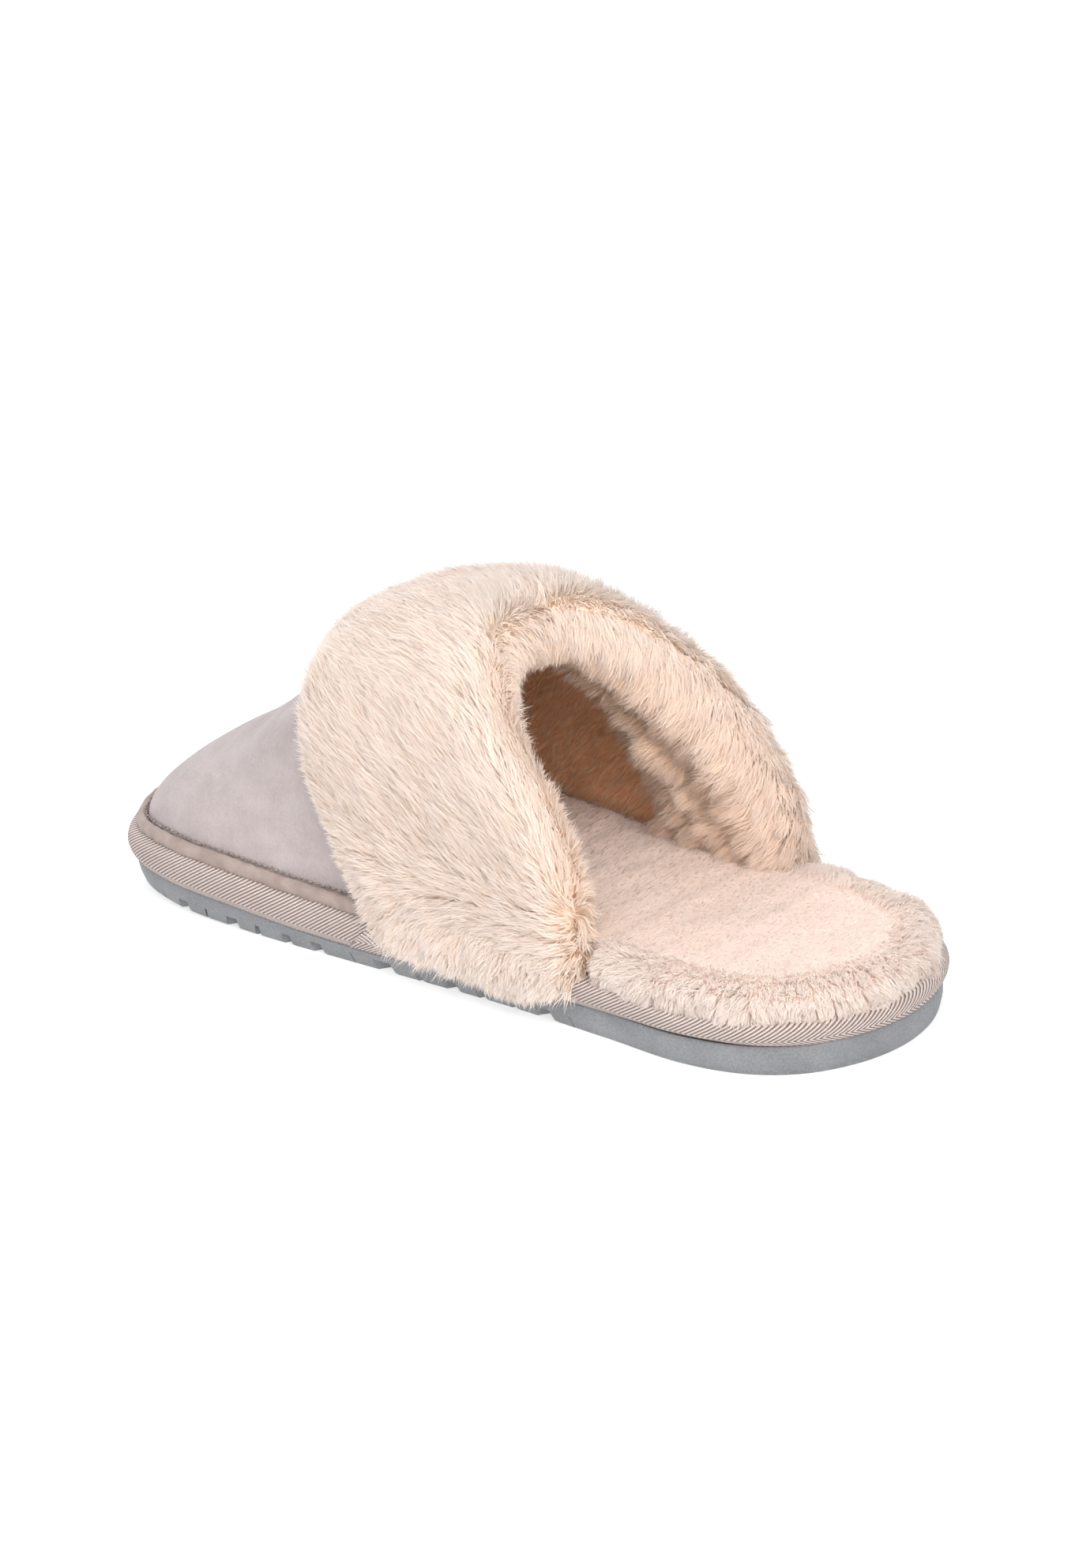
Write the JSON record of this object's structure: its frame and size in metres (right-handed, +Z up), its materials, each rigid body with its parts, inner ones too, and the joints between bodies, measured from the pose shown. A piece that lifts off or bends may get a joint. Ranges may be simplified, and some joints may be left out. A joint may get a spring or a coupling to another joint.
{
  "type": "scuff slipper",
  "caption": "Backless slip-on slipper for the right foot with a suede vamp, deep fur collar, plush footbed, taped edge and lugged sole.",
  "frame": {"origin": "on the floor, under the centre of the heel's curve", "axes": "+Y along the foot towards the toe, +X towards the wearer's right (the little toe's side), +Z up"},
  "size_m": [0.0963, 0.2594, 0.0982],
  "materials": {
    "sole_rubber": "matt moulded, fine speckle",
    "insole_plush": "short smooth plush",
    "edge_tape": "herringbone twill",
    "piping_binding": "smooth woven binding",
    "vamp_suede": "microsuede with a soft nap",
    "collar_fur": "deep pile fur"
  },
  "bodies": {
    "root": {"outsole": "sole_rubber", "insole": "insole_plush", "edge_tape": "edge_tape", "piping": "piping_binding", "upper": "vamp_suede", "fur_collar": "collar_fur"}
  },
  "joints": []
}
